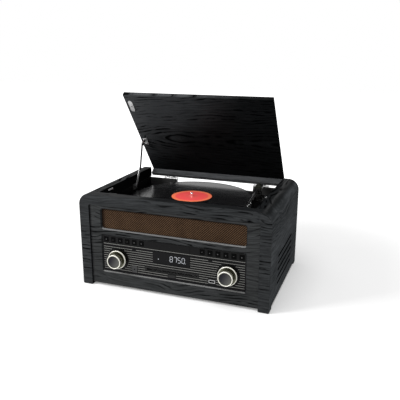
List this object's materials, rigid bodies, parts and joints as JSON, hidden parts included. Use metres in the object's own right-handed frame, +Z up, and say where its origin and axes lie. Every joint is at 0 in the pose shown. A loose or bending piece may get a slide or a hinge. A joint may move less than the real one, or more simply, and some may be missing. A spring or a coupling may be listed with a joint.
{
  "type": "stereo music centre",
  "caption": "Black ash cased music centre with a propped hinged lid over a record deck, cloth grille, gloss control panel with two-tier knobs, push keys, display and disc slot",
  "frame": {"origin": "under the middle of the whole piece with its lid open, on the table", "axes": "+X to the listener's right, +Y to the back, +Z up"},
  "size_m": [0.454, 0.3494, 0.442],
  "materials": {
    "black_ash_cabinet": "open-grained black ash veneer, satin",
    "black_ash_front": "black ash veneer with wavy grain, satin",
    "black_ash_lid": "black ash veneer, satin",
    "grey_ash_batten": "greyer ash strip, satin",
    "board_brown": "bare fibreboard",
    "board_black": "black painted fibreboard",
    "felt_black": "felt",
    "cloth_brown": "woven brown and black cloth",
    "speaker_black": "black paper cone and painted basket",
    "gloss_black": "piano black gloss",
    "bright_lines": "bright metal foil lines",
    "circuit_board": "green circuit board",
    "smoked_lens": "smoked gloss window",
    "socket_black": "black moulding",
    "drive_metal": "plated steel",
    "transformer_metal": "lacquered laminations",
    "switch_black": "satin black",
    "deck_black": "fine satin black",
    "platter_metal": "turned aluminium",
    "rubber_black": "ribbed rubber",
    "vinyl_black": "grooved gloss vinyl",
    "label_coral": "printed paper, coral with a peach rim",
    "bright_metal": "polished",
    "brass_pulley": "turned brass",
    "arm_black": "gloss black",
    "arm_dark": "satin black",
    "weight_olive": "dark olive satin",
    "hinge_steel": "plated steel",
    "bright_plate": "polished steel",
    "catch_black": "black moulding with magnet",
    "stay_grey": "grey zinc",
    "stay_dark": "black steel",
    "knob_dark": "dark olive-black gloss",
    "screw_black": "black zinc",
    "key_black": "gloss black"
  },
  "bodies": {
    "cabinet": {"amplifier_board": "circuit_board", "bottom_board": "board_brown", "cabinet_shell": "black_ash_cabinet", "catch": "catch_black", "cd_drive": "drive_metal", "control_board": "circuit_board", "control_fascia": "gloss_black", "deck_motor": "drive_metal", "deck_tray": "deck_black", "display_lens": "smoked_lens", "drive_belt": "rubber_black", "foot_pads": "felt_black", "front_panel": "black_ash_front", "front_sockets": "socket_black", "grille_cloth": "cloth_brown", "hinge_leaves_body": "hinge_steel", "power_supply": "transformer_metal", "rear_panel": "board_black", "rear_sockets": "socket_black", "screws": "screw_black", "speaker_baffle": "board_black", "speakers": "speaker_black", "stay_wall_bracket": "hinge_steel", "tonearm_base": "arm_black", "trim_lines": "bright_lines"},
    "lid": {"lid_board": "black_ash_lid", "lid_batten": "grey_ash_batten", "hinge_leaves_lid": "hinge_steel", "strike_plate": "bright_plate", "stay_lid_bracket": "hinge_steel"},
    "stay_low": {"stay_lower_link": "stay_grey"},
    "stay_up": {"stay_upper_link": "stay_dark"},
    "turntable": {"platter": "platter_metal", "platter_mat": "rubber_black", "record": "vinyl_black", "record_label": "label_coral", "spindle": "bright_metal"},
    "pulley": {"motor_pulley": "brass_pulley"},
    "arm_yoke": {"tonearm_yoke": "arm_dark"},
    "arm": {"tonearm": "arm_dark", "headshell": "arm_black", "counterweight": "weight_olive"},
    "cue": {"cue_lever": "bright_metal"},
    "speed": {"speed_switch": "switch_black"},
    "knob_l": {"knob_left": "knob_dark"},
    "knob_r": {"knob_right": "knob_dark"},
    "rocker": {"power_switch": "switch_black"},
    "eject": {"eject_key": "key_black"},
    "k01": {"key_01": "key_black"},
    "k02": {"key_02": "key_black"},
    "k03": {"key_03": "key_black"},
    "k04": {"key_04": "key_black"},
    "k05": {"key_05": "key_black"},
    "k06": {"key_06": "key_black"},
    "k07": {"key_07": "key_black"},
    "k08": {"key_08": "key_black"},
    "k09": {"key_09": "key_black"},
    "k10": {"key_10": "key_black"},
    "k11": {"key_11": "key_black"},
    "k12": {"key_12": "key_black"}
  },
  "joints": [
    {"name": "lid_open", "type": "hinge", "parent": "cabinet", "child": "lid", "pos_m": [0, 0.15533, 0.1965], "axis": [1, 0, 0], "range_deg": [0, 52.4]},
    {"name": "stay_low_turn", "type": "hinge", "parent": "cabinet", "child": "stay_low", "pos_m": [-0.181, 0.04883, 0.1975], "axis": [1, 0, 0], "range_deg": [-63.78, 0]},
    {"name": "stay_up_turn", "type": "hinge", "parent": "lid", "child": "stay_up", "pos_m": [-0.179, 0.08497, 0.30375], "axis": [1, 0, 0], "range_deg": [0, 43.13]},
    {"name": "platter_spin", "type": "hinge", "parent": "cabinet", "child": "turntable", "pos_m": [-0.015, 0.01783, 0.185], "axis": [0, 0, 1], "continuous": true},
    {"name": "pulley_spin", "type": "hinge", "parent": "cabinet", "child": "pulley", "pos_m": [-0.07889, -0.02691, 0.18], "axis": [0, 0, 1], "continuous": true},
    {"name": "arm_swing", "type": "hinge", "parent": "cabinet", "child": "arm_yoke", "pos_m": [0.13301, 0.09233, 0.19], "axis": [0, 0, 1], "range_deg": [-47, 0]},
    {"name": "arm_lift", "type": "hinge", "parent": "arm_yoke", "child": "arm", "pos_m": [0.13301, 0.09233, 0.202], "axis": [0.9959, 0.0906, 0], "range_deg": [-9, 0]},
    {"name": "cue_turn", "type": "hinge", "parent": "cabinet", "child": "cue", "pos_m": [0.16, 0.07833, 0.19], "axis": [0, 0, 1], "range_deg": [0, 35]},
    {"name": "speed_slide", "type": "slide", "parent": "cabinet", "child": "speed", "axis": [0, 1, 0], "range_m": [-0.005, 0.005]},
    {"name": "knob_left_turn", "type": "hinge", "parent": "cabinet", "child": "knob_l", "pos_m": [-0.1335, -0.15767, 0.0736], "axis": [0, 1, 0], "continuous": true},
    {"name": "knob_right_turn", "type": "hinge", "parent": "cabinet", "child": "knob_r", "pos_m": [0.1335, -0.15767, 0.0736], "axis": [0, 1, 0], "continuous": true},
    {"name": "rocker_tip", "type": "hinge", "parent": "cabinet", "child": "rocker", "pos_m": [0.112, 0.14533, 0.044], "axis": [1, 0, 0], "range_deg": [-8, 8]},
    {"name": "eject_push", "type": "slide", "parent": "cabinet", "child": "eject", "axis": [0, 1, 0], "range_m": [0, 0.0008], "stiffness_N_per_m": 400},
    {"name": "key_01_push", "type": "slide", "parent": "cabinet", "child": "k01", "axis": [0, 1, 0], "range_m": [0, 0.0008], "stiffness_N_per_m": 400},
    {"name": "key_02_push", "type": "slide", "parent": "cabinet", "child": "k02", "axis": [0, 1, 0], "range_m": [0, 0.0008], "stiffness_N_per_m": 400},
    {"name": "key_03_push", "type": "slide", "parent": "cabinet", "child": "k03", "axis": [0, 1, 0], "range_m": [0, 0.0008], "stiffness_N_per_m": 400},
    {"name": "key_04_push", "type": "slide", "parent": "cabinet", "child": "k04", "axis": [0, 1, 0], "range_m": [0, 0.0008], "stiffness_N_per_m": 400},
    {"name": "key_05_push", "type": "slide", "parent": "cabinet", "child": "k05", "axis": [0, 1, 0], "range_m": [0, 0.0008], "stiffness_N_per_m": 400},
    {"name": "key_06_push", "type": "slide", "parent": "cabinet", "child": "k06", "axis": [0, 1, 0], "range_m": [0, 0.0008], "stiffness_N_per_m": 400},
    {"name": "key_07_push", "type": "slide", "parent": "cabinet", "child": "k07", "axis": [0, 1, 0], "range_m": [0, 0.0008], "stiffness_N_per_m": 400},
    {"name": "key_08_push", "type": "slide", "parent": "cabinet", "child": "k08", "axis": [0, 1, 0], "range_m": [0, 0.0008], "stiffness_N_per_m": 400},
    {"name": "key_09_push", "type": "slide", "parent": "cabinet", "child": "k09", "axis": [0, 1, 0], "range_m": [0, 0.0008], "stiffness_N_per_m": 400},
    {"name": "key_10_push", "type": "slide", "parent": "cabinet", "child": "k10", "axis": [0, 1, 0], "range_m": [0, 0.0008], "stiffness_N_per_m": 400},
    {"name": "key_11_push", "type": "slide", "parent": "cabinet", "child": "k11", "axis": [0, 1, 0], "range_m": [0, 0.0008], "stiffness_N_per_m": 400},
    {"name": "key_12_push", "type": "slide", "parent": "cabinet", "child": "k12", "axis": [0, 1, 0], "range_m": [0, 0.0008], "stiffness_N_per_m": 400}
  ],
  "couplings": [
    {"joint": "stay_low_turn", "follows": "lid_open", "ratio": -1.2134},
    {"joint": "stay_up_turn", "follows": "lid_open", "ratio": 0.8192},
    {"joint": "pulley_spin", "follows": "platter_spin", "ratio": 10}
  ]
}
